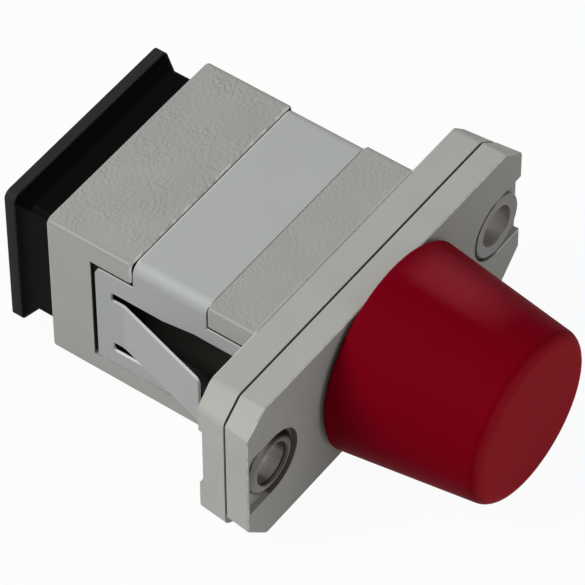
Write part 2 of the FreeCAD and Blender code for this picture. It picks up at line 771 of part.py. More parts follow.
def make_sleeve_holder(doc, s):
    """Turned holder of the sleeve's other half: a disc clamped at the seam and a lipped tube."""
    body = doc.addObject("PartDesign::Body", "fc_sleeve_holder")
    section = new_sketch(body, "section", "XY_Plane", Length.of(0))
    bore = s.tube_bore / 2
    outer = s.tube_diameter / 2
    disc = s.holder_width / 2
    lip = s.lip_bore / 2
    shoulder = s.seam - s.tube_reach
    tip = shoulder - s.tube_lip
    corners = [
        (bore, s.seam), (bore, shoulder), (lip, shoulder), (lip, tip),
        (outer, tip), (outer, s.web_rear), (disc, s.web_rear), (disc, s.seam),
    ]
    draw_loop(section, corners)
    turned(body, "Revolution", "holder_turning", section)
    return body


def make_split_sleeve(doc, s):
    """Ceramic sleeve with a slit along its whole length."""
    body = doc.addObject("PartDesign::Body", "split_sleeve")
    ring = new_sketch(body, "ring", "XZ_Plane", s.seam - s.sleeve_reach)
    draw_circle(ring, 0, 0, s.sleeve_outer)
    draw_circle(ring, 0, 0, s.ferrule_bore)
    swept(body, "Pad", "ring_pad", ring, s.sleeve_length, "XZ_Plane", 1)
    slit = new_sketch(body, "slit", "XZ_Plane", s.seam - s.sleeve_reach)
    draw_box(slit, -s.sleeve_slit / 2, s.sleeve_slit / 2, -s.sleeve_outer, Length.of(0))
    swept(body, "Pocket", "slit_cut", slit, s.sleeve_length, "XZ_Plane", 1)
    return body


def make_eyelet(doc, s, name, side, front_end):
    """One tubular rivet from its front end, given as a run of corners, to the spread foot at the back."""
    body = doc.addObject("PartDesign::Body", name)
    section = new_sketch(body, "section", "XY_Plane", Length.of(0))
    bore = s.eyelet_bore / 2
    tube = s.tube_outer / 2
    foot = tube + s.foot_overhang
    foot_floor = -s.back_recess
    foot_top = foot_floor + s.foot_height
    corners = front_end + [
        (tube, foot_floor), (foot, foot_floor), (foot - s.foot_bevel, foot_top),
        (bore + s.foot_bevel, foot_top), (bore, foot_floor),
    ]
    draw_loop(section, corners)
    turned(body, "Revolution", "turning", section)
    body.setExpression(".Placement.Base.x", (s.hole_x * side).text)
    return body


def make_eyelets(doc, s):
    """The two rivets: a flat head in front on the right, a rolled end in front on the left."""
    bore = s.eyelet_bore / 2
    tube = s.tube_outer / 2
    head = s.head_outer / 2
    floor = s.front + s.front_recess
    head_top = floor - s.head_thickness
    flat_head = [(bore, head_top), (head, head_top), (head, floor), (tube, floor)]
    curl = tube + s.curl_overhang
    crest = floor - s.curl_height
    middle = floor - s.curl_height / 2
    rolled_end = [
        (bore, middle), (bore + s.curl_slope / 2, crest), (tube, crest),
        (curl - s.curl_slope, middle), (curl, floor), (tube, floor),
    ]
    right = make_eyelet(doc, s, "eyelet_right", 1, flat_head)
    left = make_eyelet(doc, s, "eyelet_left", -1, rolled_end)
    pair = doc.addObject("Part::Compound", "flange_eyelets")
    pair.Links = [right, left]
    return pair


def make_fc_dust_cap(doc, s):
    """Tapered rubber cup over the barrel, with a bevelled rim and a rounded end."""
    body = doc.addObject("PartDesign::Body", "fc_dust_cap")
    section = new_sketch(body, "section", "XY_Plane", Length.of(0))
    bore = s.barrel_diameter / 2 + s.cap_play
    rim = s.front - s.cap_seat_gap
    floor = s.barrel_tip - s.cap_end_play
    end = floor - s.cap_end_thickness
    rim_radius = bore + s.cap_rim_wall
    end_radius = bore + s.cap_end_wall
    corners = [
        (bore, rim), (rim_radius, rim), (end_radius, end),
        (Length.of(0), end), (Length.of(0), floor), (bore, floor),
    ]
    draw_loop(section, corners)
    turned(body, "Revolution", "cup_turning", section)

    def rim_edge(edge):
        return lies_at(edge, 1, rim.value) and abs(edge.BoundBox.XMax - rim_radius.value) < FINE

    def end_edge(edge):
        return lies_at(edge, 1, end.value) and abs(edge.BoundBox.XMax - end_radius.value) < FINE

    eased(body, "Chamfer", "rim_bevel", "Size", s.cap_rim_bevel, rim_edge)
    eased(body, "Fillet", "end_round", "Radius", s.cap_end_round, end_edge)
    return body


def make_sc_dust_cap(doc, s):
    """Hollow plug for the rectangular port with a sloped shoulder and a rim plate."""
    body = doc.addObject("PartDesign::Body", "sc_dust_cap")
    plug_width = s.port_width - s.plug_play * 2
    plug_top = s.port_top - s.plug_play
    plate_width = plug_width + s.rim_side * 2
    plate_top = plug_top + s.rim_top
    plate_bottom = -plug_top - s.rim_bottom
    neck_end = s.body_depth + s.neck_length
    plate_face = neck_end + s.slope_length
    plug = new_sketch(body, "plug", "XZ_Plane", s.plug_end)
    draw_rounded(plug, plug_width, -plug_top, plug_top, s.port_corner)
    swept(body, "Pad", "plug_pad", plug, s.plug_depth + s.neck_length, "XZ_Plane", 1)
    neck = new_sketch(body, "neck", "XZ_Plane", neck_end)
    draw_rounded(neck, plug_width, -plug_top, plug_top, s.port_corner)
    plate = new_sketch(body, "plate", "XZ_Plane", plate_face)
    draw_rounded(plate, plate_width, plate_bottom, plate_top, s.port_corner)
    slope = body.newObject("PartDesign::AdditiveLoft", "shoulder")
    slope.Profile = neck
    slope.Sections = [plate]
    slope.Ruled = True
    doc.recompute()
    rim = new_sketch(body, "rim", "XZ_Plane", plate_face)
    draw_rounded(rim, plate_width, plate_bottom, plate_top, s.port_corner)
    swept(body, "Pad", "rim_pad", rim, s.rim_thickness, "XZ_Plane", 1)
    hollow = new_sketch(body, "hollow", "XZ_Plane", s.plug_end)
    hollow_top = plug_top - s.plug_wall
    draw_rounded(hollow, plug_width - s.plug_wall * 2, -hollow_top, hollow_top, s.port_corner)
    back = plate_face + s.rim_thickness - s.plug_end_wall
    swept(body, "Pocket", "hollow_cut", hollow, back - s.plug_end, "XZ_Plane", 1)
    return body


def check_document(doc, pieces):
    """Stop if any object failed to recompute or a piece is empty or broken."""
    for item in doc.Objects:
        if "Invalid" in item.State or "Error" in item.State:
            raise RuntimeError(f"{item.Name} failed: {item.State}")
    for piece in pieces:
        if piece.Shape.isNull() or not piece.Shape.isValid():
            raise RuntimeError(f"{piece.Label} has no valid shape")


def main():
    doc = FreeCAD.newDocument("fibre_adapter")
    s = derive(fill_sheet(doc))
    pieces = [
        make_sc_housing(doc, s), make_fc_housing(doc, s), make_panel_clip(doc, s),
        make_latch_insert(doc, s), make_sleeve_holder(doc, s), make_split_sleeve(doc, s),
        make_eyelets(doc, s), make_fc_dust_cap(doc, s), make_sc_dust_cap(doc, s),
    ]
    doc.recompute()
    check_document(doc, pieces)
    os.makedirs("parts", exist_ok=True)
    for piece in pieces:
        piece.Shape.exportStep(os.path.join("parts", f"{piece.Label}.step"))
        print(piece.Label, len(piece.Shape.Solids), round(piece.Shape.Volume, 3))


main()
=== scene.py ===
"""Looks of the hybrid fibre adapter: finishes for its pieces, the barrel's thread, camera and light."""
import math

import bmesh
import bpy
from mathutils import Matrix, Vector


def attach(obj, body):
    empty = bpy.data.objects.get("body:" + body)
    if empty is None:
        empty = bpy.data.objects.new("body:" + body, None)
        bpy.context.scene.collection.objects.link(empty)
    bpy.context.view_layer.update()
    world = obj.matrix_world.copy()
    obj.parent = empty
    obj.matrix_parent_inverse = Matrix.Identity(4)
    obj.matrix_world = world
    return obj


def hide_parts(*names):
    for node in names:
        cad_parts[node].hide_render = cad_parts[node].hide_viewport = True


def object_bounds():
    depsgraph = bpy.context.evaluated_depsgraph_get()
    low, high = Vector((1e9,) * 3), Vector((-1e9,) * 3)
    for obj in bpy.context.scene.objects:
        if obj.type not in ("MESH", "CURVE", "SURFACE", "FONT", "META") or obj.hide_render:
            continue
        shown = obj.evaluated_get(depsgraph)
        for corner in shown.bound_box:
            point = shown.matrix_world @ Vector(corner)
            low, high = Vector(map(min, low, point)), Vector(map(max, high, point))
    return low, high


# Lengths of the part are written in millimetres, and MM turns them into metres.
MM = 0.001
JOIN_DISTANCE = 0.0005 * MM
FLAT_DEG = 0.5
SMOOTH_DEG = 30
EYELET_SMOOTH_DEG = 40
RIVET_ACROSS = 9.0
WHITE = (1.0, 1.0, 1.0, 1.0)
AMBIENT = 0.34
FLOOR_GAP = 0.03


def merged_copy(node, name):
    """A copy of a CAD node's mesh with its corners joined and its flat faces whole, shaded smooth."""
    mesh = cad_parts[node].data.copy()
    mesh.name = name
    shell = bmesh.new()
    shell.from_mesh(mesh)
    bmesh.ops.remove_doubles(shell, verts=shell.verts, dist=JOIN_DISTANCE)
    bmesh.ops.dissolve_limit(shell, angle_limit=math.radians(FLAT_DEG), verts=shell.verts, edges=shell.edges)
    shell.to_mesh(mesh)
    shell.free()
    mesh.materials.clear()
    piece = bpy.data.objects.new(name, mesh)
    bpy.context.scene.collection.objects.link(piece)
    smooth(piece, SMOOTH_DEG)
    return piece


def smooth(piece, degrees):
    """Shade a piece smooth where its faces turn by less than an angle, with its large faces kept flat."""
    shell = bmesh.new()
    shell.from_mesh(piece.data)
    for face in shell.faces:
        face.smooth = True
    for edge in shell.edges:
        edge.smooth = edge.calc_face_angle(math.pi) < math.radians(degrees)
    shell.to_mesh(piece.data)
    shell.free()
    weights = piece.modifiers.new("flat_faces", "WEIGHTED_NORMAL")
    weights.keep_sharp = True
    weights.weight = 100
    keep_result(piece, weights)


def keep_result(piece, modifier):
    """Put what a modifier makes of a piece in the place of its mesh."""
    depsgraph = bpy.context.evaluated_depsgraph_get()
    mesh = bpy.data.meshes.new_from_object(piece.evaluated_get(depsgraph))
    piece.modifiers.remove(modifier)
    piece.data = mesh


def seat(piece, node, body):
    """Put a finished piece in the place of its CAD node."""
    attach(piece, body)
    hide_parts(node)


# Nodes and arithmetic for every tree

def add(tree, kind, values=None, **settings):
    """A node with its settings, and the values or links of its inputs."""
    node = tree.nodes.new(kind)
    for key, value in settings.items():
        setattr(node, key, value)
    for key, value in (values or {}).items():
        if isinstance(value, bpy.types.NodeSocket):
            tree.links.new(value, node.inputs[key])
        else:
            node.inputs[key].default_value = value
    return node


def compute(tree, operation, first, second=0.0):
    """One step of arithmetic on two numbers or links."""
    return add(tree, "ShaderNodeMath", {0: first, 1: second}, operation=operation).outputs[0]


def chain(tree, operation, values):
    """The same step of arithmetic from one value to the next."""
    result = values[0]
    for value in values[1:]:
        result = compute(tree, operation, result, value)
    return result


def product(tree, *values):
    """Several values multiplied, which is where all of several masks are one."""
    return chain(tree, "MULTIPLY", values)


def largest(tree, *values):
    """The largest of several values, which is where any of several masks is one."""
    return chain(tree, "MAXIMUM", values)


def size_of(tree, value):
    """A value without its sign."""
    return compute(tree, "ABSOLUTE", value)


# Trees of Geometry Nodes

def new_tree(name, sizes):
    """A geometry tree with named inputs for its sizes."""
    tree = bpy.data.node_groups.new(name, "GeometryNodeTree")
    tree.interface.new_socket("Geometry", in_out="INPUT", socket_type="NodeSocketGeometry")
    for label in sizes:
        tree.interface.new_socket(label, in_out="INPUT", socket_type="NodeSocketFloat")
    tree.interface.new_socket("Coat", in_out="INPUT", socket_type="NodeSocketMaterial")
    tree.interface.new_socket("Geometry", in_out="OUTPUT", socket_type="NodeSocketGeometry")
    return tree


def close_tree(tree, shape, coat):
    """End a tree: real meshes in place of instances, and their coat."""
    real = add(tree, "GeometryNodeRealizeInstances", {"Geometry": shape})
    coated = add(tree, "GeometryNodeSetMaterial", {"Geometry": real.outputs[0], "Material": coat})
    add(tree, "NodeGroupOutput", {"Geometry": coated.outputs[0]})


def run_tree(piece, tree, sizes, coat):
    """Run a tree on a piece once and keep the result as its plain mesh."""
    modifier = piece.modifiers.new(tree.name, "NODES")
    modifier.node_group = tree
    for socket in tree.interface.items_tree:
        if socket.in_out == "INPUT" and socket.name in sizes:
            modifier[socket.identifier] = sizes[socket.name]
        if socket.in_out == "INPUT" and socket.name == "Coat":
            modifier[socket.identifier] = coat
    keep_result(piece, modifier)


def thread_tree():
    """Cut a helical groove of triangular section round the barrel."""
    steps_per_turn = 72
    triangle = 3
    point_inwards = (0.0, 0.0, math.pi)
    lie_along_y = (-math.pi / 2, 0.0, 0.0)
    tree = new_tree("barrel_thread", ("Root radius", "Groove size", "Pitch", "Start", "Length"))
    given = add(tree, "NodeGroupInput").outputs
    middle = compute(tree, "ADD", given["Root radius"], given["Groove size"])
    turns = compute(tree, "DIVIDE", given["Length"], given["Pitch"])
    spiral = add(tree, "GeometryNodeCurveSpiral", {
        "Resolution": steps_per_turn, "Rotations": turns, "Start Radius": middle, "End Radius": middle,
        "Height": given["Length"], "Reverse": False,
    })
    upright = add(tree, "GeometryNodeSetCurveNormal", {"Curve": spiral.outputs[0]}, mode="Z_UP")
    section = add(tree, "GeometryNodeCurvePrimitiveCircle", {
        "Resolution": triangle, "Radius": given["Groove size"],
    })
    apex_in = add(tree, "GeometryNodeTransform", {
        "Geometry": section.outputs[0], "Rotation": point_inwards,
    })
    groove = add(tree, "GeometryNodeCurveToMesh", {
        "Curve": upright.outputs[0], "Profile Curve": apex_in.outputs[0], "Fill Caps": True,
    })
    place = add(tree, "ShaderNodeCombineXYZ", {"Y": given["Start"]})
    along = add(tree, "GeometryNodeTransform", {
        "Geometry": groove.outputs[0], "Translation": place.outputs[0], "Rotation": lie_along_y,
    })
    cut = add(tree, "GeometryNodeMeshBoolean", {
        "Mesh 1": given["Geometry"], "Mesh 2": along.outputs[0],
    }, operation="DIFFERENCE", solver="EXACT")
    close_tree(tree, cut.outputs[0], given["Coat"])
    return tree


# Pieces with a shape of their own

def eyelet_pair():
    """The two tubular eyelets: a flat head in front on the right, a rolled end in front on the left."""
    bore, tube, foot, head, curl = 1.1, 1.35, 1.55, 1.75, 1.67
    floor, head_top, crest = -2.73, -3.01, -2.99
    foot_floor, foot_top = -0.22, -0.08
    head_easing = 0.05
    foot_taper = 0.08
    lip_width, lip_depth = 0.16, 0.15
    steps = 6
    back = [
        (tube, foot_floor), (foot, foot_floor), (foot - foot_taper, foot_top),
        (bore + foot_taper, foot_top), (bore, foot_floor),
    ]
    flat_head = [
        (bore, head_top + head_easing), (bore + head_easing, head_top),
        (head - head_easing, head_top), (head, head_top + head_easing), (head, floor), (tube, floor),
    ]
    top = bore + lip_width
    rolled_end = [(bore, floor)]
    for step in range(steps):
        turn = math.pi / 2 * step / steps
        rolled_end.append((top - lip_width * math.cos(turn), crest + lip_depth * (1 - math.sin(turn))))
    for step in range(steps + 1):
        turn = math.pi / 2 * step / steps
        rolled_end.append((top + (curl - top) * math.sin(turn), floor + (crest - floor) * math.cos(turn)))
    rolled_end.append((tube, floor))
    rings = bmesh.new()
    add_ring(rings, flat_head + back, RIVET_ACROSS)
    add_ring(rings, rolled_end + back, -RIVET_ACROSS)
    bmesh.ops.recalc_face_normals(rings, faces=rings.faces)
    mesh = bpy.data.meshes.new("flange_eyelet_pair")
    rings.to_mesh(mesh)
    rings.free()
    piece = bpy.data.objects.new("flange_eyelet_pair", mesh)
    bpy.context.scene.collection.objects.link(piece)
    smooth(piece, EYELET_SMOOTH_DEG)
    return piece


def add_ring(rings, section, across):
    """Turn a section of radius and depth about an axis along Y."""
    steps = 64
    axis = Vector((across * MM, 0.0, 0.0))
    corners = [rings.verts.new((axis.x + radius * MM, depth * MM, 0.0)) for radius, depth in section]
    sides = [rings.edges.new((corners[place - 1], corners[place])) for place in range(len(corners))]
    bmesh.ops.spin(rings, geom=corners + sides, cent=axis, axis=(0, 1, 0), angle=math.tau, steps=steps)
    bmesh.ops.remove_doubles(rings, verts=rings.verts, dist=JOIN_DISTANCE)


def close_front_gap(clip):
    """Draw the strip's front edge out on top by its burr, up to the block in front of it."""
    front_edge, burr, flat_top, reach = 2.75, 0.07, 4.34, 0.01
    for corner in clip.data.vertices:
        if abs(corner.co.y - front_edge * MM) < reach * MM and corner.co.z > flat_top * MM:
            corner.co.y -= burr * MM


# Steps that the finishes share

def new_finish(name, roughness, specular, metallic=0.0):
    """A surface shader with its even values set, and the coordinates of its piece."""
    material = bpy.data.materials.new(name)
    material.use_nodes = True
    tree = material.node_tree
    shader = tree.nodes["Principled BSDF"]
    shader.inputs["Roughness"].default_value = roughness
    shader.inputs["Specular IOR Level"].default_value = specular
    shader.inputs["Metallic"].default_value = metallic
    place = add(tree, "ShaderNodeTexCoord").outputs["Object"]
    return material, tree, shader, place


def tone(red, green, blue):
    """An opaque colour."""
    return (red, green, blue, 1.0)


def parts_of(tree, vector):
    """The X, Y and Z parts of a vector."""
    return add(tree, "ShaderNodeSeparateXYZ", {"Vector": vector}).outputs


def facing_of(tree):
    """The X, Y and Z parts of the direction that the surface faces."""
    return parts_of(tree, add(tree, "ShaderNodeNewGeometry").outputs["Normal"])


def stretched(tree, place, scale):
    """Coordinates scaled along their axes, which draws a grain out along the small ones."""
    return add(tree, "ShaderNodeMapping", {"Vector": place, "Scale": scale}).outputs[0]


def grain(tree, place, size, detail=2.0):
    """Cloudy noise with features of about one size."""
    return add(tree, "ShaderNodeTexNoise", {
        "Vector": place, "Scale": 1.0 / (size * MM), "Detail": detail, "Roughness": 0.5,
    }).outputs[0]


def blend(tree, share, low, high):
    """A colour between two tones."""
    return add(tree, "ShaderNodeMix", {0: share, 6: low, 7: high}, data_type="RGBA").outputs[2]


def colour(tree, shader, shown):
    """Give a shader its colour."""
    tree.links.new(shown, shader.inputs["Base Color"])


def relief(tree, shader, height, depth):
    """Raise a shader's surface by a height field."""
    bump = add(tree, "ShaderNodeBump", {"Height": height, "Distance": depth * MM, "Strength": 1.0})
    tree.links.new(bump.outputs[0], shader.inputs["Normal"])


def remap(tree, value, low, high, to_low=0.0, to_high=1.0):
    """Stretch a range of plain values to another, held at both ends."""
    return add(tree, "ShaderNodeMapRange", {
        "Value": value, "From Min": low, "From Max": high, "To Min": to_low, "To Max": to_high,
    }).outputs[0]


def fade(tree, coordinate, start, end, to_low=0.0, to_high=1.0):
    """Go from one value to another between two places along an axis."""
    return remap(tree, coordinate, start * MM, end * MM, to_low, to_high)


def between(tree, value, low, high):
    """One where a plain value lies between two limits, zero elsewhere."""
    above = compute(tree, "GREATER_THAN", value, low)
    below = compute(tree, "LESS_THAN", value, high)
    return product(tree, above, below)


def inside(tree, coordinate, low, high):
    """One where a coordinate or distance lies between two limits, zero elsewhere."""
    return between(tree, coordinate, low * MM, high * MM)


def box(tree, axes, **limits):
    """One inside a box with limits along the named axes, zero elsewhere."""
    return product(tree, *(inside(tree, axes[axis], low, high) for axis, (low, high) in limits.items()))


# Places on the housings

def clip_seat_shade(tree, axes):
    """One where shade is painted dark: the seat that the clip covers, the side recesses and the channel over
    the top.
    """
    across = size_of(tree, axes["X"])
    recess = box(tree, axes, Y=(-0.02, 9.46), Z=(-3.2, 3.29))
    recess = product(tree, recess, inside(tree, across, 5.2, 6.3))
    channel = box(tree, axes, Y=(2.66, 7.06), Z=(3.2, 4.44))
    channel = product(tree, channel, compute(tree, "LESS_THAN", across, 6.3 * MM))
    return largest(tree, recess, channel)


def from_rivet(tree, axes):
    """Distance from the axis of the nearer rivet."""
    across = compute(tree, "SUBTRACT", size_of(tree, axes["X"]), RIVET_ACROSS * MM)
    square = compute(tree, "ADD", product(tree, across, across), product(tree, axes["Z"], axes["Z"]))
    return compute(tree, "POWER", square, 0.5)


def rivet_seat_shade(tree, axes):
    """One on the floors of the rivets' seats in the front face, where shade is painted, fading out towards
    their outer ends.
    """
    ring = inside(tree, from_rivet(tree, axes), 1.3, 1.9)
    left_fade = fade(tree, axes["X"], -10.5, -9.3)
    right_fade = fade(tree, axes["X"], 9.1, 7.9)
    return product(tree, ring, left_fade, right_fade, inside(tree, axes["Y"], -3.01, -2.6))


def seam_gap_shade(tree, axes):
    """One in the hairline gap between the two flange plates, a little way in from their outline, where shade
    is painted dark.
    """
    sides = (
        (1.0, 0.0, 10.78), (0.0, 1.0, 4.47), (0.0, -1.0, 4.47), (0.64, 0.768, 9.564), (0.759, -0.651, 10.181),
    )
    across = size_of(tree, axes["X"])
    depth = 1.0
    for outward, upward, limit in sides:
        reach = compute(tree, "ADD", product(tree, across, outward), product(tree, axes["Z"], upward))
        depth = compute(tree, "MINIMUM", depth, compute(tree, "SUBTRACT", limit * MM, reach))
    return product(tree, inside(tree, axes["Y"], -1.675, -1.545), inside(tree, depth, 0.12, 1.0))


def painted_edge_light(tree, place, axes, facing):
    """One where pale light is painted on: two bevels, the right seat's ledge, the step behind the flange."""
    bevels = largest(tree, inside(tree, axes["Y"], -3.022, -2.98), inside(tree, axes["Y"], 7.04, 7.16))
    # Noise breaks the painted light on the bevels into patches.
    painted_light_share = remap(tree, grain(tree, place, 0.5), 0.4, 0.6, 0.3, 1.0)
    bevels = product(tree, bevels, between(tree, facing["Y"], -0.9, -0.4), painted_light_share)
    ledge = box(tree, axes, X=(9.0, 10.9), Y=(-3.04, -2.97), Z=(-1.95, -1.86))
    step = box(tree, axes, Y=(-0.02, 0.004), Z=(4.465, 4.56))
    return largest(tree, bevels, ledge, step)


# Finishes

def powder_coat():
    """Warm grey powder coat: pebbled on the block's top, smoother elsewhere, with painted shade in gaps,
    seats and on the rounded edges that face the light, and painted highlights on edges.
    """
    flange_grey = tone(0.40, 0.40, 0.376)
    block_grey = tone(0.325, 0.325, 0.305)
    seat_shade_grey = tone(0.14, 0.128, 0.117)
    edge_shade_grey = tone(0.278, 0.278, 0.262)
    edge_highlight_grey = tone(0.38, 0.38, 0.36)
    painted_light_grey = tone(0.72, 0.72, 0.7)
    gap_shade_black = tone(0.012, 0.012, 0.011)
    material, tree, shader, place = new_finish("grey_powder_coat", roughness=0.6, specular=0.15)
    axes = parts_of(tree, place)
    facing = facing_of(tree)
    on_block = fade(tree, axes["Y"], 0.0, 0.1)
    on_top = product(tree, remap(tree, facing["Z"], 0.85, 0.98), on_block)
    pebbles = remap(tree, grain(tree, place, 0.2, detail=1.0), 0.38, 0.62, -0.5, 0.5)
    patches = remap(tree, grain(tree, place, 1.6), 0.35, 0.65, 0.25, 1.0)
    rough_top = remap(tree, on_top, 0.0, 1.0, 0.15, 1.0)
    calm_front = fade(tree, axes["Y"], 2.4, 3.2, 0.65, 1.0)
    relief(tree, shader, product(tree, pebbles, product(tree, patches, rough_top, calm_front)), 0.028)
    shade = compute(tree, "ADD", grain(tree, place, 2.5), on_block)
    coat = blend(tree, remap(tree, shade, 0.3, 1.7), flange_grey, block_grey)
    # Painted shade on the floors of the rivets' seats.
    coat = blend(tree, rivet_seat_shade(tree, axes), coat, seat_shade_grey)
    # The block's rounded edges that face up and to the left get painted shade, with a painted highlight line
    # along their middle.
    slant = product(tree, facing["X"], -1.0, facing["Z"])
    edge_shade = product(tree, remap(tree, slant, 0.05, 0.35), on_block)
    coat = blend(tree, edge_shade, coat, edge_shade_grey)
    crest = product(tree, remap(tree, slant, 0.485, 0.5), on_block)
    coat = blend(tree, crest, coat, edge_highlight_grey)
    # Painted highlights on two bevels, the right seat's ledge and the step behind the flange.
    coat = blend(tree, painted_edge_light(tree, place, axes, facing), coat, painted_light_grey)
    # Painted shade, near black, in the clip's seat and in the seam between the flange plates.
    gap_shade = largest(tree, clip_seat_shade(tree, axes), seam_gap_shade(tree, axes))
    colour(tree, shader, blend(tree, gap_shade, coat, gap_shade_black))
    return material


def clip_steel():
    """Satin sheet steel with a faint grain along the strip, painted shade on its turned-down sides and flared
    tongue, painted highlights on its sheared edges and rear rim, and painted shade on its shoulders.
    """
    dark_sheet = tone(0.385, 0.398, 0.396)
    light_sheet = tone(0.415, 0.428, 0.426)
    side_shade_sheet = tone(0.352, 0.365, 0.362)
    tongue_shade_sheet = tone(0.322, 0.334, 0.332)
    edge_highlight_steel = tone(0.62, 0.63, 0.62)
    lower_edge_highlight_steel = tone(0.86, 0.87, 0.86)
    rim_highlight_steel = tone(0.5, 0.515, 0.512)
    shoulder_shade_black = tone(0.02, 0.02, 0.02)
    edge_limit = 0.7
    material, tree, shader, place = new_finish(
        "clip_spring_steel", roughness=0.6, specular=0.12, metallic=0.05,
    )
    axes = parts_of(tree, place)
    facing = facing_of(tree)
    along_strip = stretched(tree, place, (0.25, 1.0, 1.0))
    relief(tree, shader, grain(tree, along_strip, 0.12), 0.004)
    sheet = blend(tree, grain(tree, place, 3.0), dark_sheet, light_sheet)
    # The turned-down sides and the flared tongue are painted darker as shade.
    turned_down = remap(tree, size_of(tree, facing["X"]), 0.5, 0.95)
    sheet = blend(tree, turned_down, sheet, side_shade_sheet)
    flared = product(tree, remap(tree, facing["Y"], -0.08, -0.22), turned_down)
    sheet = blend(tree, flared, sheet, tongue_shade_sheet)
    # The sheared edges are bare burnished steel, painted brighter still as a highlight, most of all on the
    # lower ones.
    upward = compute(tree, "GREATER_THAN", size_of(tree, facing["Z"]), edge_limit)
    endward = compute(tree, "GREATER_THAN", size_of(tree, facing["Y"]), edge_limit)
    below_strip = compute(tree, "LESS_THAN", axes["Z"], 3.2 * MM)
    sheared = largest(tree, product(tree, upward, below_strip), endward)
    low = compute(tree, "LESS_THAN", axes["Z"], -1.5 * MM)
    sheet = blend(tree, sheared, sheet, blend(tree, low, edge_highlight_steel, lower_edge_highlight_steel))
    # A painted highlight along the strip's rear top edge.
    rear_rim_highlight = box(tree, axes, Y=(6.89, 7.0), Z=(4.45, 4.6))
    sheet = blend(tree, rear_rim_highlight, sheet, rim_highlight_steel)
    # Painted shade, near black, on the panels' upper edges under the block.
    at_panel = inside(tree, size_of(tree, axes["X"]), 6.1, 6.22)
    shoulder_shade = product(tree, at_panel, inside(tree, axes["Z"], 2.9, 3.2), upward)
    colour(tree, shader, blend(tree, shoulder_shade, sheet, shoulder_shade_black))
    return material


def eyelet_plating():
    """Dull plated metal with faint drawing marks, with painted light in the bores, and painted shade on the
    rolled end's inner side, in part of the left bore and round the right head's rim.
    """
    dark_plating = tone(0.105, 0.101, 0.095)
    light_plating = tone(0.135, 0.13, 0.122)
    inner_curl_shade = tone(0.045, 0.041, 0.037)
    outer_curl_light = tone(0.13, 0.122, 0.114)
    rim_shade = tone(0.025, 0.024, 0.022)
    lit_right_bore = tone(0.53, 0.515, 0.49)
    lit_left_bore = tone(0.74, 0.72, 0.69)
    shaded_left_bore = tone(0.18, 0.17, 0.16)
    flat_mouth, rolled_mouth_set_back = -2.95, 0.14
    material, tree, shader, place = new_finish(
        "eyelet_plating", roughness=0.38, specular=0.3, metallic=0.85,
    )
    axes = parts_of(tree, place)
    radius = from_rivet(tree, axes)
    marks = grain(tree, stretched(tree, place, (1.0, 0.2, 1.0)), 0.2, detail=3.0)
    relief(tree, shader, marks, 0.006)
    plating = blend(tree, remap(tree, marks, 0.3, 0.7), dark_plating, light_plating)
    rolled = compute(tree, "LESS_THAN", axes["X"], 0.0)
    # The rolled end is painted darker towards the rivet's middle as shade and lighter on its outer side as
    # light.
    curl = blend(tree, fade(tree, axes["X"], -8.9, -9.8), inner_curl_shade, outer_curl_light)
    plating = blend(tree, rolled, plating, curl)
    rim = product(tree, inside(tree, radius, 1.65, 1.8), inside(tree, axes["X"], 0.0, 8.8))
    plating = blend(tree, rim, plating, rim_shade)
    mouth = compute(tree, "ADD", product(tree, rolled, rolled_mouth_set_back * MM), flat_mouth * MM)
    # Painted light inside the bores.
    within = compute(tree, "LESS_THAN", radius, 1.12 * MM)
    in_bore = product(tree, within, compute(tree, "GREATER_THAN", axes["Y"], mouth))
    # Painted shade on the upper part and the left side of the left bore.
    bore_shade = largest(tree, fade(tree, axes["Z"], -0.4, 0.0), fade(tree, axes["X"], -9.0, -9.25, 0.0, 0.75))
    left_bore = blend(tree, bore_shade, lit_left_bore, shaded_left_bore)
    colour(tree, shader, blend(tree, in_bore, plating, blend(tree, rolled, lit_right_bore, left_bore)))
    return material


def red_rubber():
    """Dark red rubber with a satin skin, with a painted reflection on the end and a painted sheen on the
    upper side.
    """
    dark_skin = tone(0.155, 0.0002, 0.0055)
    light_skin = tone(0.17, 0.0005, 0.007)
    painted_sheen_red = tone(0.27, 0.022, 0.035)
    end_reflection_red = tone(0.315, 0.0105, 0.019)
    sheen_x, sheen_z = 0.31, 0.95
    material, tree, shader, place = new_finish("red_cap_rubber", roughness=0.55, specular=0.01)
    axes = parts_of(tree, place)
    facing = facing_of(tree)
    relief(tree, shader, grain(tree, place, 0.3, detail=3.0), 0.004)
    clouds = grain(tree, place, 3.5)
    skin = blend(tree, clouds, dark_skin, light_skin)
    # A painted sheen along the upper side, where it faces up and a little to the right.
    upper = compute(tree, "ADD", product(tree, facing["X"], sheen_x), product(tree, facing["Z"], sheen_z))
    along = product(tree, fade(tree, axes["Y"], -9.4, -6.8), fade(tree, axes["Y"], -3.3, -4.6))
    painted_sheen = product(tree, remap(tree, upper, 0.92, 1.0), along, remap(tree, clouds, 0.2, 0.6, 0.5, 0.9))
    skin = blend(tree, painted_sheen, skin, painted_sheen_red)
    # A painted reflection makes the end paler and greyer.
    painted_light_share = fade(tree, axes["Y"], -10.85, -11.15)
    colour(tree, shader, blend(tree, painted_light_share, skin, end_reflection_red))
    return material


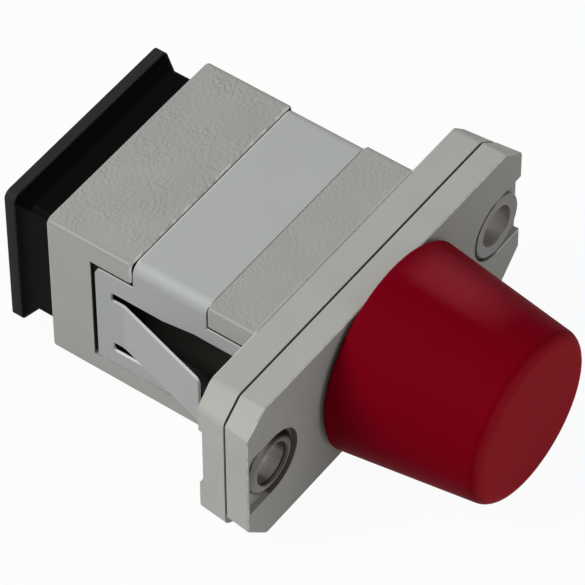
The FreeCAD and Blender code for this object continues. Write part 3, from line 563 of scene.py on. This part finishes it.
def black_plastic():
    """Moulded black plastic with a fine spark-eroded grain, paler on the rim plate, with painted light on the
    plug's sides and a painted shadow on the plug next to the plate.
    """
    dark_plug = tone(0.0012, 0.0014, 0.0015)
    light_plug = tone(0.002, 0.0022, 0.0024)
    lit_side_plug = tone(0.004, 0.0044, 0.0048)
    neck_shadow_black = tone(0.0003, 0.0003, 0.0004)
    dark_plate = tone(0.021, 0.024, 0.0225)
    light_plate = tone(0.026, 0.029, 0.0275)
    material, tree, shader, place = new_finish("black_cap_plastic", roughness=0.5, specular=0.02)
    axes = parts_of(tree, place)
    facing = facing_of(tree)
    relief(tree, shader, grain(tree, place, 0.09, detail=3.0), 0.006)
    clouds = grain(tree, place, 1.2)
    plug = blend(tree, clouds, dark_plug, light_plug)
    plate = blend(tree, clouds, dark_plate, light_plate)
    # The plug's sides are painted lighter as light.
    sideward = remap(tree, size_of(tree, facing["X"]), 0.8, 0.95)
    plug = blend(tree, product(tree, sideward, inside(tree, axes["Y"], 9.0, 14.2)), plug, lit_side_plug)
    # A painted shadow on the plug next to the rim plate.
    plug = blend(tree, fade(tree, axes["Y"], 13.6, 14.0), plug, neck_shadow_black)
    colour(tree, shader, blend(tree, fade(tree, axes["Y"], 14.15, 14.25), plug, plate))
    return material


def dark_plastic():
    """Moulded dark plastic of the latch insert, slightly warm."""
    deep = tone(0.009, 0.0085, 0.006)
    pale = tone(0.013, 0.012, 0.009)
    material, tree, shader, place = new_finish("dark_insert_plastic", roughness=0.5, specular=0.05)
    relief(tree, shader, grain(tree, place, 0.12, detail=3.0), 0.004)
    colour(tree, shader, blend(tree, grain(tree, place, 1.8), deep, pale))
    return material


def turned_metal():
    """Plated metal with the rings that turning leaves."""
    deep = tone(0.44, 0.43, 0.40)
    pale = tone(0.56, 0.55, 0.52)
    material, tree, shader, place = new_finish(
        "holder_turned_metal", roughness=0.3, specular=0.5, metallic=1.0,
    )
    rings = grain(tree, stretched(tree, place, (0.0, 1.0, 0.0)), 0.06)
    relief(tree, shader, rings, 0.004)
    colour(tree, shader, blend(tree, rings, deep, pale))
    return material


def sleeve_ceramic():
    """Polished white ceramic with faint clouds."""
    deep = tone(0.80, 0.79, 0.75)
    pale = tone(0.87, 0.86, 0.83)
    material, tree, shader, place = new_finish("sleeve_ceramic", roughness=0.12, specular=0.6)
    relief(tree, shader, grain(tree, place, 0.4), 0.001)
    colour(tree, shader, blend(tree, grain(tree, place, 1.5), deep, pale))
    return material


# Stage

def seen_share(tree, share):
    """A share of white for what the camera, gloss and glass see."""
    rays = add(tree, "ShaderNodeLightPath").outputs
    seen = largest(tree, rays["Is Camera Ray"], rays["Is Glossy Ray"], rays["Is Transmission Ray"])
    return product(tree, seen, share)


def make_world():
    """Even studio light, white where it is seen."""
    world = bpy.data.worlds.new("studio")
    world.use_nodes = True
    tree = world.node_tree
    tree.nodes.clear()
    soft = add(tree, "ShaderNodeBackground", {"Color": WHITE, "Strength": AMBIENT})
    white = add(tree, "ShaderNodeBackground", {"Color": WHITE, "Strength": 1.0})
    mixed = add(tree, "ShaderNodeMixShader", {
        0: seen_share(tree, 1.0), 1: soft.outputs[0], 2: white.outputs[0],
    })
    add(tree, "ShaderNodeOutputWorld", {"Surface": mixed.outputs[0]})
    bpy.context.scene.world = world


def make_floor(level):
    """Pale floor under the part that keeps a faint shadow."""
    width = 4.0
    floor_grey = tone(0.6, 0.6, 0.6)
    white_share = 0.95
    bpy.ops.mesh.primitive_plane_add(size=width, location=(0, 0, level))
    floor = bpy.context.object
    floor.name = "floor"
    material = bpy.data.materials.new("pale_floor")
    material.use_nodes = True
    tree = material.node_tree
    tree.nodes.clear()
    matt = add(tree, "ShaderNodeBsdfDiffuse", {"Color": floor_grey})
    white = add(tree, "ShaderNodeEmission", {"Color": WHITE, "Strength": 1.0})
    mixed = add(tree, "ShaderNodeMixShader", {
        0: seen_share(tree, white_share), 1: matt.outputs[0], 2: white.outputs[0],
    })
    add(tree, "ShaderNodeOutputMaterial", {"Surface": mixed.outputs[0]})
    floor.data.materials.append(material)


def make_lamp(name, towards, power):
    """A soft square lamp that shines on the part from one direction."""
    distance = 0.35
    data = bpy.data.lights.new(name, "AREA")
    data.shape = "SQUARE"
    data.size = 0.2
    data.energy = power
    lamp = bpy.data.objects.new(name, data)
    direction = Vector(towards).normalized()
    lamp.location = direction * distance
    lamp.rotation_mode = "QUATERNION"
    lamp.rotation_quaternion = direction.to_track_quat("Z", "Y")
    bpy.context.scene.collection.objects.link(lamp)


def make_camera():
    """The photograph's camera: a long lens looking down from the front left."""
    azimuth, elevation, roll = (math.radians(angle) for angle in (-53.529, 48.777, -0.438))
    across, up, distance = -1.985 * MM, 1.0128 * MM, 234.08 * MM
    level_reach = math.cos(elevation)
    back = Vector((math.sin(azimuth) * level_reach, -math.cos(azimuth) * level_reach, math.sin(elevation)))
    level = Vector((math.cos(azimuth), math.sin(azimuth), 0.0))
    upright = back.cross(level)
    right = level * math.cos(roll) + upright * math.sin(roll)
    top = upright * math.cos(roll) - level * math.sin(roll)
    data = bpy.data.cameras.new("camera")
    data.sensor_width = 36.0
    data.lens = 307.58
    data.clip_start = 0.01
    data.clip_end = 20.0
    camera = bpy.data.objects.new("camera", data)
    place = Matrix((right, top, back)).transposed().to_4x4()
    place.translation = right * across + top * up + back * distance
    camera.matrix_world = place
    bpy.context.scene.collection.objects.link(camera)
    bpy.context.scene.camera = camera


# The part on its stage

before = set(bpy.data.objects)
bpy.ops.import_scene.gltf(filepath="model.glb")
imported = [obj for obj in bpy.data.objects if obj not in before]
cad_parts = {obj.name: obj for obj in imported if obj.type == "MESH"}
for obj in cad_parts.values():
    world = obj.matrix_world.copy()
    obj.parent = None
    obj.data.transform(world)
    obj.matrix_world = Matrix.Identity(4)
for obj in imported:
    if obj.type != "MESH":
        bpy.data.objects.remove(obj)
cad_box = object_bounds()

coat = powder_coat()
housing = merged_copy("sc_housing", "sc_block")
housing.data.materials.append(coat)
seat(housing, "sc_housing", "adapter")

barrel = merged_copy("fc_housing", "fc_flange_and_barrel")
run_tree(barrel, thread_tree(), {
    "Root radius": 3.48 * MM, "Groove size": 0.40 * MM, "Pitch": 0.75 * MM,
    "Start": -10.9 * MM, "Length": 6.75 * MM,
}, coat)
smooth(barrel, SMOOTH_DEG)
seat(barrel, "fc_housing", "adapter")

clip = merged_copy("panel_clip", "folded_clip")
close_front_gap(clip)
clip.data.materials.append(clip_steel())
seat(clip, "panel_clip", "adapter")

eyelets = eyelet_pair()
eyelets.data.materials.append(eyelet_plating())
seat(eyelets, "flange_eyelets", "adapter")

insert = merged_copy("sc_latch_insert", "latch_insert")
insert.data.materials.append(dark_plastic())
seat(insert, "sc_latch_insert", "adapter")

holder = merged_copy("fc_sleeve_holder", "sleeve_holder")
holder.data.materials.append(turned_metal())
seat(holder, "fc_sleeve_holder", "adapter")

sleeve = merged_copy("split_sleeve", "ceramic_sleeve")
sleeve.data.materials.append(sleeve_ceramic())
seat(sleeve, "split_sleeve", "adapter")

red_cap = merged_copy("fc_dust_cap", "red_cap")
red_cap.data.materials.append(red_rubber())
seat(red_cap, "fc_dust_cap", "fc_cap")

black_cap = merged_copy("sc_dust_cap", "black_cap")
black_cap.data.materials.append(black_plastic())
seat(black_cap, "sc_dust_cap", "sc_cap")

make_world()
make_floor(cad_box[0].z - FLOOR_GAP * MM)
make_lamp("key", towards=(-0.56, 0.42, 0.77), power=1.04)
make_lamp("fill", towards=(0.05, -0.9, 0.3), power=0.115)
make_camera()
bpy.context.scene.view_settings.view_transform = "Standard"
